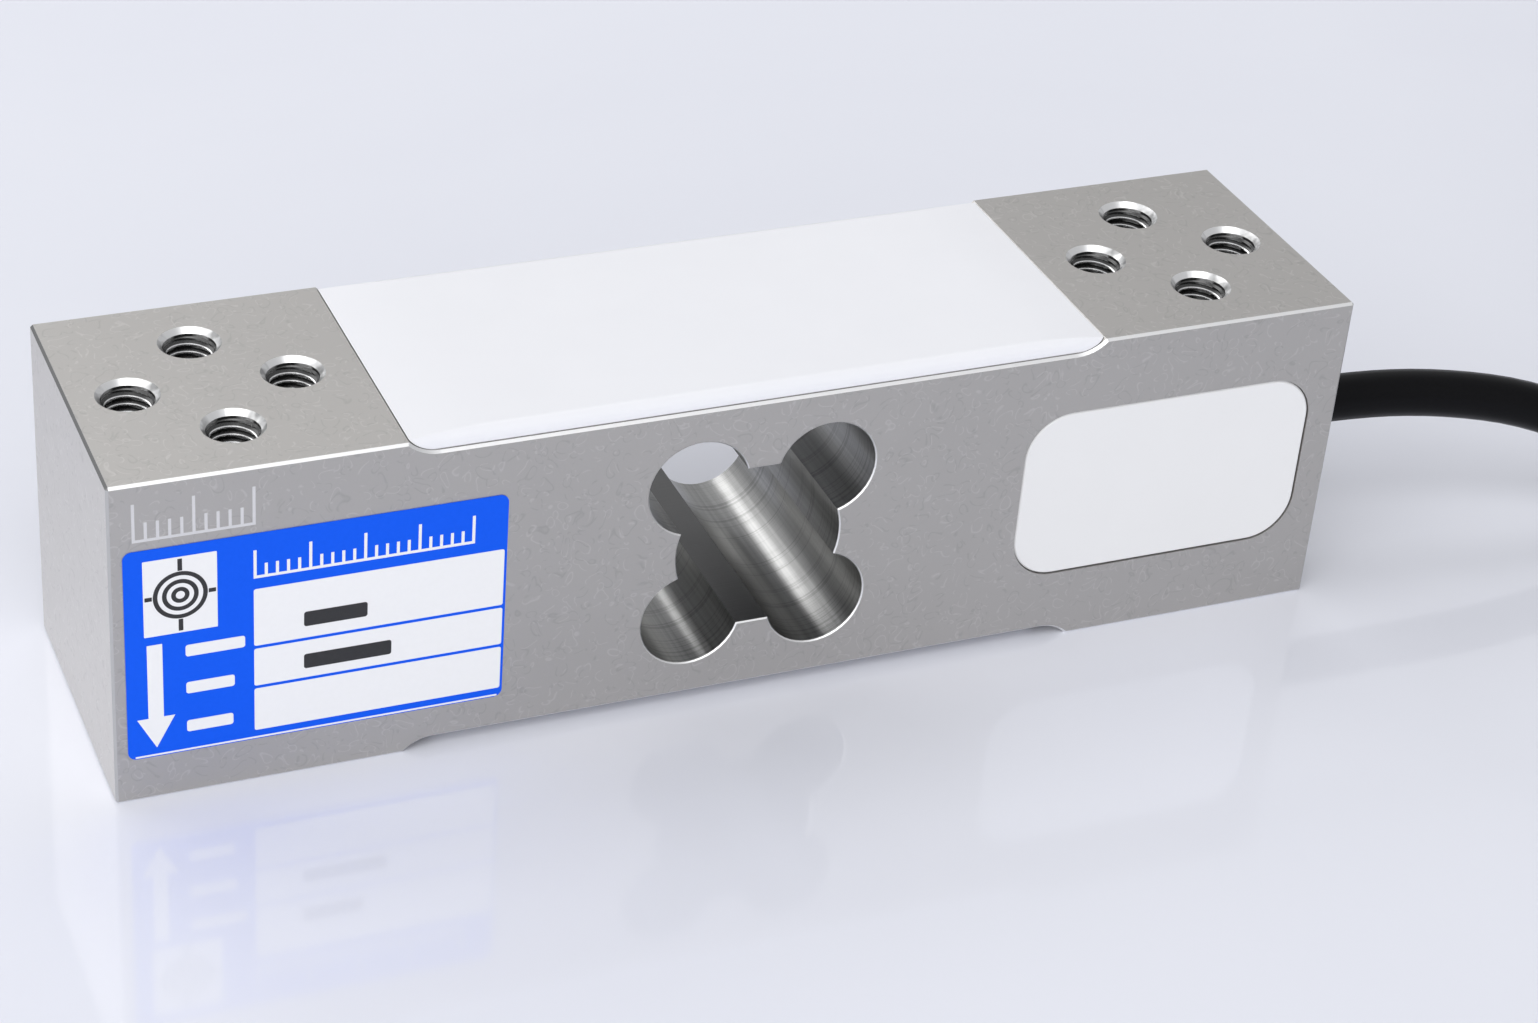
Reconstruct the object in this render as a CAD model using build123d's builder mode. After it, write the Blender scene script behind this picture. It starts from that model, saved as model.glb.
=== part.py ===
"""Single point load cell, in millimetres.

A milled aluminium beam with a four-lobed window carries strain gauges above and below that window.
X runs along the beam to the cable end, -Y is the front with the label, and Z is up. The origin is at
the centre of the bottom face.
"""

from build123d import *

import os
from math import pi, radians, sqrt, tan

# Beam
body_length = 150.0
body_width = 36.0
body_height = 41.0
edge_break = 0.3

# Window: four lobe bores, a centre bore and a keyway cut straight up and down between the lobes
lobe_radius = 6.05
lobe_x = 7.8
lobe_z = 8.8
centre_bore_radius = 10.1
keyway_width = 6.0
keyway_height = 20.9
window_break = 0.15

# Shallow recess along the top and along the bottom between the end pads, each end run out on an arc
pad_length = 33.0
recess_depth = 1.5
recess_end_radius = 5.0

# Threaded holes, four on a circle at each end, blind from the top and from the bottom. Those in the top
# are cut to the thread's outer radius, and those in the bottom are drawn at the tapping drill's.
hole_circle_from_end = 16.0
hole_circle_radius = 9.25
hole_count = 4
thread_radius = 3.0
tapping_radius = 2.5
countersink_radius = 3.6
countersink_angle = 90.0
thread_depth = 13.0
drill_tip_height = 1.8

# Pocket in the front face, with a seat for its cover and a deeper well for the cable
pocket_from_end = 3.75
pocket_width = 38.0
pocket_height = 22.5
pocket_corner_radius = 5.7
pocket_depth = 5.0
seat_ledge = 1.6
well_length = 13.6
well_half_height = 4.6

# Covers
cover_gap = 0.15
cover_proud = 0.3
cover_crown_run = 9.0
cover_round = 1.2
cover_foot_round = 0.2
cover_inset = edge_break + 0.1
bottom_cover_inset = 2.2
bottom_cover_thickness = 1.1
pocket_cover_thickness = 1.2
pocket_cover_gap = 0.12
pocket_cover_break = 0.2
pocket_cover_sunk = 0.05
relief_depth = 0.8
relief_half_length = 14.0
relief_half_width = 6.0
channel_half_width = 1.3

# Strain gauges
gauge_length = 9.0
gauge_width = 7.0
backing_thickness = 0.1
foil_thickness = 0.06
grid_lines = 8
grid_pitch = 0.6
grid_line_width = 0.32
grid_line_length = 4.0
tab_length = 2.8
tab_width = 1.1
solder_height = 0.3
solder_size = 1.0

# Solder terminal strips and the wires on them
strip_length = 9.0
strip_width = 4.2
strip_thickness = 0.15
strip_shift = -0.5
strip_pad_x = 1.3
jumper_radius = 0.1
lead_count = 3
lead_radius = 0.15
lead_pitch = 0.6
lead_pad_y = -4.2
lead_lane_y = -7.2
wire_air = 0.02
duct_to_board = 1.6
duct_radius = 1.1

# Circuit board and its resistors
board_from_ledge = 3.15
board_width = 16.8
board_height = 16.4
board_thickness = 0.8
lead_landing_z = 7.1
lead_landing_length = 2.6
resistor_names = ("span_resistor", "zero_resistor", "temperature_resistor")
resistor_pitch = 4.6
resistor_radius = 1.0
resistor_cap_radius = 1.2
resistor_body_length = 4.6
resistor_cap_length = 1.0
resistor_wire_radius = 0.25
resistor_wire_reach = 4.2
resistor_air = 0.15

# Cable
cable_diameter = 6.0
cable_y = -6.5
cable_air = 0.05
cable_depth = 11.0
crimp_outer_radius = 4.2
crimp_length = 4.0
seal_outer_radius = 4.6
seal_length = 3.0
seal_air = 0.05
bore_air = 0.15
core_names = ("red", "green", "white", "black")
core_radius = 0.5
inner_core_pitch = 1.15
inner_core_run = 5.3
inner_core_turn_radius = 1.6
core_over_board = 1.4

# Put-away length of the cable: an oblong hank of turns beside and on each other
hank_straight = 56.0
hank_columns = 2
hank_layers = 4
hank_inner_turn = 3 * cable_diameter
hank_edge_chamfer = 1.6
hank_lead_in = 18.0
tie_thickness = 0.8
tie_width = 4.0
tie_front_x = 6.0
tie_back_x = 28.0
tie_head_length = 5.0
tie_head_height = 3.2

# Far end of the cable: the jacket stops in a sleeve and the bare cores lie on the hank
tail_start_x = 12.0
sleeve_radius = 3.2
sleeve_air = 0.05
sleeve_length = 10.0
tail_core_radius = 0.55
tail_core_pitch = 1.12
tail_core_spread = 1.2
tail_core_level_run = 5.0
tail_core_fall_run = 8.0
tail_core_length = 17.0
tail_core_step = 1.5
tip_radius = 0.32
tip_length = 5.0
notch_length = 48.0

# Label
label_from_end = 1.5
label_above_base = 5.7
label_width = 43.0
label_height = 27.0
label_corner_radius = 1.0
label_thickness = 0.1

end_x = body_length / 2
front_y = -body_width / 2
mid_z = body_height / 2
recess_length = body_length - 2 * pad_length
floor_offset = mid_z - recess_depth
recess_run = sqrt(recess_depth * (2 * recess_end_radius - recess_depth))
recess_floor_half = recess_length / 2 - recess_run
hole_circle_x = end_x - hole_circle_from_end
pocket_x = end_x - pocket_from_end - pocket_width / 2
pocket_floor_y = front_y + pocket_depth
board_near_x = pocket_x - pocket_width / 2 + seat_ledge + board_from_ledge
board_x = board_near_x + board_width / 2
board_face_y = pocket_floor_y - board_thickness
duct_x = board_near_x - duct_to_board
well_far_x = pocket_x + pocket_width / 2 - seat_ledge
well_near_x = well_far_x - well_length
well_floor_y = cable_y + well_half_height
duct_y = board_face_y - lead_radius - wire_air
cable_radius = cable_diameter / 2
cable_inner_x = end_x - cable_depth
inner_core_turn_x = cable_inner_x - inner_core_run
label_x = label_from_end + label_width / 2 - end_x
label_z = label_above_base + label_height / 2
hank_floor_z = tie_thickness
cable_low_z = hank_floor_z + cable_radius

# The cable's free route, from its inner end to where it joins the hank
cable_route = [
    (cable_inner_x, cable_y, mid_z),
    (80.0, cable_y, mid_z),
    (96.0, -7.6, 19.8),
    (112.0, -11.0, 16.9),
    (125.6, -16.0, 9.7),
    (138.8, -21.4, cable_low_z),
    (151.5, -26.0, cable_low_z),
]

front_plane = Plane.XZ.offset(body_width / 2)


def corner_radii(points, share=0.45):
    """One radius for each corner of a route, as large as the shorter of its two runs allows."""
    radii = []
    for before, corner, after in zip(points, points[1:], points[2:]):
        run_in = Vector(*corner) - Vector(*before)
        run_out = Vector(*after) - Vector(*corner)
        half_turn = radians(run_in.get_angle(run_out)) / 2
        radii.append(share * min(run_in.length, run_out.length) / tan(half_turn))
    return radii


def add_tube(points, radius, radii):
    """Sweep a round section along straight runs joined by tangent arcs, into the part being built."""
    with BuildLine() as route:
        FilletPolyline(*points, radius=radii)
    start = Vector(*points[0])
    with BuildSketch(Plane(origin=start, z_dir=Vector(*points[1]) - start)) as section:
        Circle(radius)
    sweep(section.sketch, path=route.line)
    return sum(edge.length for edge in route.edges())


def add_wire(points, radius):
    """Sweep a thin round wire with sharply folded corners, into the part being built."""
    with BuildLine() as route:
        Polyline(*points)
    start = Vector(*points[0])
    with BuildSketch(Plane(origin=start, z_dir=Vector(*points[1]) - start)) as section:
        Circle(radius)
    sweep(section.sketch, path=route.line, transition=Transition.RIGHT)


def finish(piece, name):
    """Label a finished piece and write it to its own file."""
    piece.part.label = name
    export_step(piece.part, f"parts/{name}.step")


def recess_profile(half_length, floor_half, surface_z, floor_z):
    """Outline of the recess in the XZ plane: a flat floor with an arc up to the surface at each end."""
    with BuildLine() as profile:
        floor = Line((-floor_half, floor_z), (floor_half, floor_z))
        far_arc = TangentArc(floor @ 1, (half_length, surface_z), tangent=(1, 0))
        near_arc = TangentArc(floor @ 0, (-half_length, surface_z), tangent=(-1, 0))
        Line(near_arc @ 1, far_arc @ 1)
    make_face(profile.edges())


os.makedirs("parts", exist_ok=True)

# Sensor body: the side outline gives the recesses, then the edges are broken before the bores are cut
with BuildPart() as sensor_body:
    with BuildSketch(Plane.XZ) as side_outline:
        with Locations((0, mid_z)):
            Rectangle(body_length, body_height)
        with BuildSketch(Plane.XZ, mode=Mode.SUBTRACT):
            recess_profile(recess_length / 2, recess_floor_half, body_height, body_height - recess_depth)
        with BuildSketch(Plane.XZ, mode=Mode.SUBTRACT):
            recess_profile(recess_length / 2, recess_floor_half, 0, recess_depth)
    extrude(amount=body_width / 2, both=True)
    side_faces = sensor_body.faces().filter_by(Axis.Y)
    end_faces = sensor_body.faces().filter_by(Axis.X)
    chamfer(ShapeList(side_faces.edges() + end_faces.edges().filter_by(Axis.Y)), edge_break)

    with BuildSketch(Plane.XZ) as window_outline:
        with Locations((0, mid_z)):
            Circle(centre_bore_radius)
            Rectangle(keyway_width, keyway_height)
            with GridLocations(2 * lobe_x, 2 * lobe_z, 2, 2):
                Circle(lobe_radius)
    extrude(amount=body_width / 2, both=True, mode=Mode.SUBTRACT)
    window_rims = [
        edge
        for face in sensor_body.faces().filter_by(Axis.Y).group_by(Axis.Y)[0]
        + sensor_body.faces().filter_by(Axis.Y).group_by(Axis.Y)[-1]
        for wire in face.inner_wires()
        for edge in wire.edges()
    ]
    chamfer(window_rims, window_break)

    for side, hole_radius in ((1, thread_radius), (-1, tapping_radius)):
        for end in (1, -1):
            face_centre = (end * hole_circle_x, 0, mid_z + side * mid_z)
            with Locations(Plane(origin=face_centre, x_dir=(1, 0, 0), z_dir=(0, 0, side))):
                with PolarLocations(hole_circle_radius, hole_count):
                    CounterSinkHole(
                        radius=hole_radius,
                        counter_sink_radius=countersink_radius,
                        depth=thread_depth,
                        counter_sink_angle=countersink_angle,
                    )
                    with Locations((0, 0, -thread_depth)):
                        Cone(
                            bottom_radius=0,
                            top_radius=hole_radius,
                            height=drill_tip_height,
                            align=(Align.CENTER, Align.CENTER, Align.MAX),
                            mode=Mode.SUBTRACT,
                        )

    with BuildSketch(front_plane):
        with Locations((pocket_x, mid_z)):
            RectangleRounded(pocket_width, pocket_height, pocket_corner_radius)
    extrude(amount=-pocket_cover_thickness - pocket_cover_sunk, mode=Mode.SUBTRACT)
    with BuildSketch(front_plane):
        with Locations((pocket_x, mid_z)):
            RectangleRounded(
                pocket_width - 2 * seat_ledge,
                pocket_height - 2 * seat_ledge,
                pocket_corner_radius - seat_ledge,
            )
    extrude(amount=-pocket_depth, mode=Mode.SUBTRACT)
    with BuildSketch(front_plane):
        with Locations(((well_near_x + well_far_x) / 2, mid_z)):
            Rectangle(well_length, 2 * well_half_height)
    extrude(amount=front_y - well_floor_y, mode=Mode.SUBTRACT)

    end_plane = Plane(origin=(end_x, cable_y, mid_z), z_dir=(1, 0, 0))
    with BuildSketch(end_plane):
        Circle(cable_radius + bore_air)
    extrude(amount=well_far_x - end_x, mode=Mode.SUBTRACT)
    with BuildSketch(end_plane):
        Circle(seal_outer_radius)
    extrude(amount=-seal_length, mode=Mode.SUBTRACT)

    for side in (1, -1):
        with BuildSketch(Plane.XY.offset(mid_z + side * floor_offset)):
            with Locations((duct_x, duct_y)):
                Circle(duct_radius)
        extrude(amount=side * (lead_landing_z - floor_offset), mode=Mode.SUBTRACT)
finish(sensor_body, "sensor_body")


def cut_cover_underside(side):
    """Hollow a gauge cover over the gauges, and along the lane that its lead wires take to their duct."""
    floor_plane = Plane(origin=(0, 0, mid_z + side * floor_offset), x_dir=(1, 0, 0), z_dir=(0, 0, side))
    with BuildSketch(floor_plane) as relief:
        Rectangle(2 * relief_half_length, 2 * relief_half_width)
        lane_start, lane_end = -strip_width / 2, duct_x + channel_half_width
        with Locations(((lane_start + lane_end) / 2, side * lead_lane_y)):
            Rectangle(lane_end - lane_start, 2 * channel_half_width)
        lane_foot = duct_y - channel_half_width
        with Locations((duct_x, side * (lead_lane_y + lane_foot) / 2)):
            Rectangle(2 * channel_half_width, lead_lane_y - lane_foot)
    extrude(relief.sketch, amount=relief_depth, mode=Mode.SUBTRACT)


# Top cover: the recess outline with a crowned top, trimmed by a cross-section with rounded shoulders
with BuildPart() as top_gauge_cover:
    cover_half = recess_length / 2 - cover_gap
    cover_floor_half = recess_floor_half - cover_gap
    crown_half = cover_half - cover_crown_run
    cover_floor_z = body_height - recess_depth
    cover_top_z = body_height + cover_proud
    with BuildSketch(Plane.XZ) as cover_outline:
        with BuildLine():
            sole = Line((-cover_floor_half, cover_floor_z), (cover_floor_half, cover_floor_z))
            crown = Line((-crown_half, cover_top_z), (crown_half, cover_top_z))
            near_foot = TangentArc(sole @ 0, (-cover_half, body_height), tangent=(-1, 0))
            far_foot = TangentArc(sole @ 1, (cover_half, body_height), tangent=(1, 0))
            TangentArc(crown @ 0, near_foot @ 1, tangent=(-1, 0))
            TangentArc(crown @ 1, far_foot @ 1, tangent=(1, 0))
        make_face()
    extrude(amount=body_width / 2, both=True)
    with BuildSketch(Plane.YZ) as cover_section:
        with Locations((0, (cover_floor_z + cover_top_z) / 2)):
            section = Rectangle(body_width - 2 * cover_inset, cover_top_z - cover_floor_z)
        fillet(cover_section.vertices().group_by(Axis.Y)[-1], cover_round)
        fillet(cover_section.vertices().group_by(Axis.Y)[0], cover_foot_round)
    extrude(amount=body_length / 2, both=True, mode=Mode.INTERSECT)
    cut_cover_underside(1)
finish(top_gauge_cover, "top_gauge_cover")

# Bottom cover: a thin plate that stays inside its recess, clear of whatever the beam stands on
with BuildPart() as bottom_gauge_cover:
    with BuildSketch(Plane.XY.offset(recess_depth)):
        Rectangle(2 * (recess_floor_half - cover_gap), body_width - 2 * bottom_cover_inset)
    extrude(amount=-bottom_cover_thickness)
    chamfer(bottom_gauge_cover.faces().sort_by(Axis.Z)[0].edges(), bottom_cover_thickness - relief_depth)
    cut_cover_underside(-1)
finish(bottom_gauge_cover, "bottom_gauge_cover")

# Pocket cover: a rounded plate on the pocket's seat
with BuildPart() as pocket_cover:
    with BuildSketch(front_plane.offset(-pocket_cover_sunk - pocket_cover_thickness)):
        with Locations((pocket_x, mid_z)):
            RectangleRounded(
                pocket_width - 2 * pocket_cover_gap,
                pocket_height - 2 * pocket_cover_gap,
                pocket_corner_radius - pocket_cover_gap,
            )
    extrude(amount=pocket_cover_thickness)
    chamfer(pocket_cover.faces().sort_by(Axis.Y)[0].edges(), pocket_cover_break)
finish(pocket_cover, "pocket_cover")


def floor_frame(x, side, towards_centre=1):
    """A plane on the top or bottom recess floor at x, with its normal away from the beam."""
    return Plane(
        origin=(x, 0, mid_z + side * floor_offset),
        x_dir=(towards_centre, 0, 0),
        z_dir=(0, 0, side),
    )


# Strain gauges: a backing film with a folded foil grid, two tabs and a bead of solder on each tab
side_names = {1: "top", -1: "bottom"}
end_names = {1: "cable_end", -1: "load_end"}
grid_half_width = (grid_lines - 1) * grid_pitch / 2
grid_near_x = grid_line_length - gauge_length / 2 + (gauge_length - grid_line_length - tab_length) / 2
tab_far_x = grid_near_x + tab_length
solder_x = tab_far_x - solder_size / 2
for side in (1, -1):
    for end in (1, -1):
        frame = floor_frame(end * lobe_x, side, -end)
        with BuildPart() as strain_gauge:
            with BuildSketch(frame):
                Rectangle(gauge_length, gauge_width)
            extrude(amount=backing_thickness)
            with BuildSketch(frame.offset(backing_thickness)):
                with Locations((grid_near_x - grid_line_length / 2, 0)):
                    with GridLocations(grid_line_length, grid_pitch, 1, grid_lines):
                        Rectangle(grid_line_length, grid_line_width)
                for line in range(grid_lines - 1):
                    fold_x = grid_near_x - (grid_line_length if line % 2 == 0 else 0)
                    fold_in = grid_line_width / 2 if line % 2 == 0 else -grid_line_width / 2
                    with Locations((fold_x + fold_in, (line + 0.5) * grid_pitch - grid_half_width)):
                        Rectangle(grid_line_width, grid_pitch + grid_line_width)
                for across in (1, -1):
                    with Locations((grid_near_x + tab_length / 2, across * grid_half_width)):
                        Rectangle(tab_length, tab_width)
            extrude(amount=foil_thickness)
            with BuildSketch(frame.offset(backing_thickness)):
                with Locations((solder_x, grid_half_width), (solder_x, -grid_half_width)):
                    RectangleRounded(solder_size, solder_size, solder_size / 4)
            extrude(amount=solder_height - backing_thickness)
        finish(strain_gauge, f"{side_names[side]}_gauge_{end_names[end]}")

# Terminal strips, jumper wires and lead wires on each recess floor
lead_offsets = [(number - (lead_count - 1) / 2) * lead_pitch for number in range(lead_count)]
for side in (1, -1):
    frame = floor_frame(0, side)
    with BuildPart() as terminal_strip:
        with BuildSketch(frame):
            with Locations((0, side * strip_shift)):
                RectangleRounded(strip_width, strip_length, strip_width / 12)
        extrude(amount=strip_thickness)
        with BuildSketch(frame.offset(strip_thickness)):
            with GridLocations(2 * strip_pad_x, 2 * grid_half_width, 2, 2):
                RectangleRounded(solder_size, solder_size, solder_size / 4)
            for offset in lead_offsets:
                with Locations((offset, side * lead_pad_y)):
                    Rectangle(2 * lead_radius, solder_size)
        extrude(amount=solder_height - strip_thickness)
    finish(terminal_strip, f"{side_names[side]}_terminal_strip")

    wire_plane_z = mid_z + side * (floor_offset + solder_height + jumper_radius + wire_air)
    with BuildPart() as jumper_wires:
        for end in (1, -1):
            wire_start = end * (strip_pad_x - solder_size / 4)
            wire_end = end * (lobe_x - solder_x + solder_size / 4)
            for across in (1, -1):
                wire_place = Plane(
                    origin=(wire_start, across * grid_half_width, wire_plane_z), z_dir=(end, 0, 0)
                )
                with BuildSketch(wire_place):
                    Circle(jumper_radius)
                extrude(amount=abs(wire_end - wire_start))
    finish(jumper_wires, f"{side_names[side]}_jumper_wires")

    lead_z = mid_z + side * (floor_offset + solder_height + lead_radius + wire_air)
    landing_x = board_near_x + lead_landing_length
    with BuildPart() as lead_wires:
        for offset in lead_offsets:
            landing_z = mid_z + side * (lead_landing_z + offset)
            lead_path = [
                (offset, lead_pad_y, lead_z),
                (offset, lead_lane_y + offset, lead_z),
                (duct_x + offset, lead_lane_y + offset, lead_z),
                (duct_x + offset, duct_y, lead_z),
                (duct_x + offset, duct_y, landing_z),
                (landing_x, duct_y, landing_z),
            ]
            add_wire(lead_path, lead_radius)
    finish(lead_wires, f"{side_names[side]}_lead_wires")

# Circuit board on the pocket floor, and its resistors
with BuildPart() as circuit_board:
    with BuildSketch(Plane.XZ.offset(-pocket_floor_y)):
        with Locations((board_x, mid_z)):
            RectangleRounded(board_width, board_height, board_thickness)
    extrude(amount=board_thickness)
finish(circuit_board, "circuit_board")

resistor_y = board_face_y - resistor_cap_radius - resistor_air
for place, resistor_name in enumerate(resistor_names):
    resistor_z = mid_z + (place - (len(resistor_names) - 1) / 2) * resistor_pitch
    half = resistor_body_length / 2
    with BuildPart() as resistor:
        with BuildSketch(Plane(origin=(board_x, resistor_y, resistor_z), z_dir=(0, 0, 1))):
            with BuildLine():
                Polyline(
                    (-half, 0),
                    (-half, resistor_cap_radius),
                    (-half + resistor_cap_length, resistor_cap_radius),
                    (-half + resistor_cap_length, resistor_radius),
                    (half - resistor_cap_length, resistor_radius),
                    (half - resistor_cap_length, resistor_cap_radius),
                    (half, resistor_cap_radius),
                    (half, 0),
                    close=True,
                )
            make_face()
        revolve(axis=Axis((board_x, resistor_y, resistor_z), (1, 0, 0)))
        for end in (1, -1):
            foot_x = board_x + end * resistor_wire_reach
            add_wire(
                [
                    (foot_x, board_face_y, resistor_z),
                    (foot_x, resistor_y, resistor_z),
                    (board_x + end * half, resistor_y, resistor_z),
                ],
                resistor_wire_radius,
            )
    finish(resistor, resistor_name)

# Cable cores inside the pocket, from the cable's inner end to the board
core_board_y = board_face_y - core_radius - wire_air
for place, colour in enumerate(core_names):
    core_z = mid_z + (place - (len(core_names) - 1) / 2) * inner_core_pitch
    with BuildPart() as inner_core:
        add_tube(
            [
                (cable_inner_x, cable_y, core_z),
                (inner_core_turn_x, cable_y, core_z),
                (inner_core_turn_x, core_board_y, core_z),
                (board_x + board_width / 2 - core_over_board, core_board_y, core_z),
            ],
            core_radius,
            inner_core_turn_radius,
        )
    finish(inner_core, f"inner_core_{colour}")

# Crimp ring behind the end wall, and the rubber seal in the end face
with BuildPart() as crimp_ring:
    with BuildSketch(Plane(origin=(well_far_x, cable_y, mid_z), z_dir=(-1, 0, 0))):
        Circle(crimp_outer_radius)
        Circle(cable_radius + cable_air, mode=Mode.SUBTRACT)
    extrude(amount=crimp_length)
finish(crimp_ring, "crimp_ring")

with BuildPart() as cable_seal:
    with BuildSketch(Plane(origin=(end_x - seal_length, cable_y, mid_z), z_dir=(1, 0, 0))):
        Circle(seal_outer_radius - seal_air)
        Circle(cable_radius + cable_air, mode=Mode.SUBTRACT)
    extrude(amount=seal_length)
finish(cable_seal, "cable_seal")

# The free cable
with BuildPart() as cable_run:
    cable_radii = corner_radii(cable_route)
    cable_run_length = add_tube(cable_route, cable_radius, cable_radii)
finish(cable_run, "cable_run")
print("cable radii", [round(radius, 1) for radius in cable_radii])
cable_section = pi * cable_radius**2
volume_share = cable_run.part.volume / cable_section / cable_run_length
print("cable run", round(cable_run_length, 1), "mm, volume over section times length", volume_share)

# Hank: the outer shape of its turns, with the lead-in that the free cable meets face to face
hank_join = Vector(*cable_route[-1])
lead_in_way = (hank_join - Vector(*cable_route[-2])).normalized()
hank_outer_turn = hank_inner_turn + (hank_columns - 1) * cable_diameter
hank_outer_radius = hank_outer_turn + cable_radius
hank_hole_radius = hank_inner_turn - cable_radius
hank_height = hank_layers * cable_diameter
loop_centre = hank_join + lead_in_way * hank_lead_in + lead_in_way.rotate(Axis.Z, 90) * hank_outer_turn
hank_x = loop_centre.X + hank_straight / 2
hank_y = loop_centre.Y
tail_x = loop_centre.X + tail_start_x
tail_y = hank_y - hank_outer_turn + cable_radius - sleeve_radius - sleeve_air
tail_floor_z = hank_floor_z + hank_height - cable_diameter
with BuildPart() as cable_hank:
    with BuildSketch(Plane.XY.offset(hank_floor_z)):
        with Locations((hank_x, hank_y)):
            SlotCenterToCenter(hank_straight, 2 * hank_outer_radius)
            SlotCenterToCenter(hank_straight, 2 * hank_hole_radius, mode=Mode.SUBTRACT)
    extrude(amount=hank_height)
    chamfer(cable_hank.faces().filter_by(Plane.XY).edges(), hank_edge_chamfer)
    with BuildSketch(Plane(origin=hank_join, z_dir=lead_in_way)):
        Circle(cable_radius)
    extrude(amount=hank_lead_in)
    with BuildSketch(Plane.XY.offset(tail_floor_z)):
        with Locations((tail_x + notch_length / 2, hank_y - hank_outer_radius)):
            Rectangle(notch_length, 2 * cable_diameter)
    extrude(amount=cable_diameter, mode=Mode.SUBTRACT)
finish(cable_hank, "cable_hank")

# Ties: a strap all round one side of the hank, with its head on top
tie_places = {"hank_tie_front": (tie_front_x, -1), "hank_tie_back": (tie_back_x, 1)}
bundle_width = hank_columns * cable_diameter
for tie_name, (along, tie_side) in tie_places.items():
    tie_x = loop_centre.X + along
    bundle_y = hank_y + tie_side * (hank_inner_turn + hank_outer_turn) / 2
    strap_centre = (tie_x, bundle_y, hank_floor_z + hank_height / 2)
    with BuildPart() as tie:
        with BuildSketch(Plane(origin=strap_centre, x_dir=(0, 1, 0), z_dir=(1, 0, 0))) as strap:
            outer = Rectangle(bundle_width + 2 * tie_thickness, hank_height + 2 * tie_thickness)
            chamfer(outer.vertices(), hank_edge_chamfer + tie_thickness / 2)
            with BuildSketch(mode=Mode.SUBTRACT) as strap_hole:
                Rectangle(bundle_width, hank_height)
                chamfer(strap_hole.vertices(), hank_edge_chamfer)
        extrude(amount=tie_width / 2, both=True)
        with BuildSketch(Plane.XY.offset(hank_floor_z + hank_height + tie_thickness / 2)):
            with Locations((tie_x, bundle_y)):
                RectangleRounded(tie_head_length, tie_head_length, tie_thickness)
        extrude(amount=tie_head_height)
    finish(tie, tie_name)

# Far end: sleeve, four cores, the screen's drain wire and their tinned tips
sleeve_z = tail_floor_z + sleeve_radius
with BuildPart() as end_sleeve:
    with BuildSketch(Plane(origin=(tail_x, tail_y, sleeve_z), z_dir=(1, 0, 0))):
        Circle(sleeve_radius)
    extrude(amount=sleeve_length)
finish(end_sleeve, "end_sleeve")

tail_names = [f"core_{colour}" for colour in core_names] + ["screen_drain"]
cores_x = tail_x + sleeve_length
tail_rest_z = tail_floor_z + tail_core_radius + wire_air
tip_places = []
for place, tail_name in enumerate(tail_names):
    across = place - (len(tail_names) - 1) / 2
    fall_x = cores_x + tail_core_level_run
    rest_x = fall_x + tail_core_fall_run
    core_path = [
        (cores_x, tail_y + across * tail_core_pitch, sleeve_z),
        (fall_x, tail_y + across * tail_core_pitch, sleeve_z),
        (rest_x, tail_y + across * tail_core_spread, tail_rest_z),
        (
            rest_x + tail_core_length - tail_core_step * (place % 3),
            tail_y + across * tail_core_spread,
            tail_rest_z,
        ),
    ]
    with BuildPart() as tail_core:
        add_wire(core_path, tail_core_radius)
    finish(tail_core, tail_name)
    tip_places.append(core_path[-1])

with BuildPart() as core_tips:
    for tip_place in tip_places:
        with BuildSketch(Plane(origin=tip_place, z_dir=(1, 0, 0))):
            Circle(tip_radius)
        extrude(amount=tip_length)
finish(core_tips, "core_tips")

# Label on the front face at the load end
with BuildPart() as type_label:
    with BuildSketch(front_plane):
        with Locations((label_x, label_z)):
            RectangleRounded(label_width, label_height, label_corner_radius)
    extrude(amount=label_thickness)
finish(type_label, "type_label")
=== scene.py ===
# %% [markdown]
# # Dressing a single point load cell
#
# A single point load cell is one milled aluminium beam that bends a few hundredths of a millimetre
# under a weighing platform. This lesson starts from the finished solids of that beam and gives them
# the surfaces, the print, the threads and the cable that a photograph of it shows. All lengths in
# Blender are metres, and the beam lies along X with its front face towards -Y.

# %% Load the solids
from math import cos, degrees, pi, radians, sin

import bmesh
import bpy
from mathutils import Matrix, Vector


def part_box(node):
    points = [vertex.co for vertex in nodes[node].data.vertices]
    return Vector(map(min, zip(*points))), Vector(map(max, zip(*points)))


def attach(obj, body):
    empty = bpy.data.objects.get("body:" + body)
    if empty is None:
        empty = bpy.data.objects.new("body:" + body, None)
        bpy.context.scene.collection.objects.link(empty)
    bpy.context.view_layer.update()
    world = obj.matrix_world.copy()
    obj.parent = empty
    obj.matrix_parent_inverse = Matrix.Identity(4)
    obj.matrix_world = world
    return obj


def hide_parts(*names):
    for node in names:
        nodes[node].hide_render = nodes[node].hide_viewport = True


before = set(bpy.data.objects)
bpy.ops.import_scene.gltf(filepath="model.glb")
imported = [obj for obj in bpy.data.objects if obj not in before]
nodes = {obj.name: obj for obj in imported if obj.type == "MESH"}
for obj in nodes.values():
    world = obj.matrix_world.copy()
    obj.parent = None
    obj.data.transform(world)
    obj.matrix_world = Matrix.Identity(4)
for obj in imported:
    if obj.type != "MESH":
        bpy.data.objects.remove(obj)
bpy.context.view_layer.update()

# %% [markdown]
# The drawing of the part is in millimetres, and so are the sizes that a maker would quote. One
# factor turns them into metres, so that every size below reads like the drawing.

# %% Sizes of the beam
MM = 0.001
beam_low, beam_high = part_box("sensor_body")
beam_length = beam_high.x - beam_low.x
beam_width = beam_high.y - beam_low.y
beam_height = beam_high.z - beam_low.z
front_y = beam_low.y
mid_z = beam_height / 2
print("beam", [round(size / MM, 2) for size in (beam_length, beam_width, beam_height)], "mm")

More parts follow.
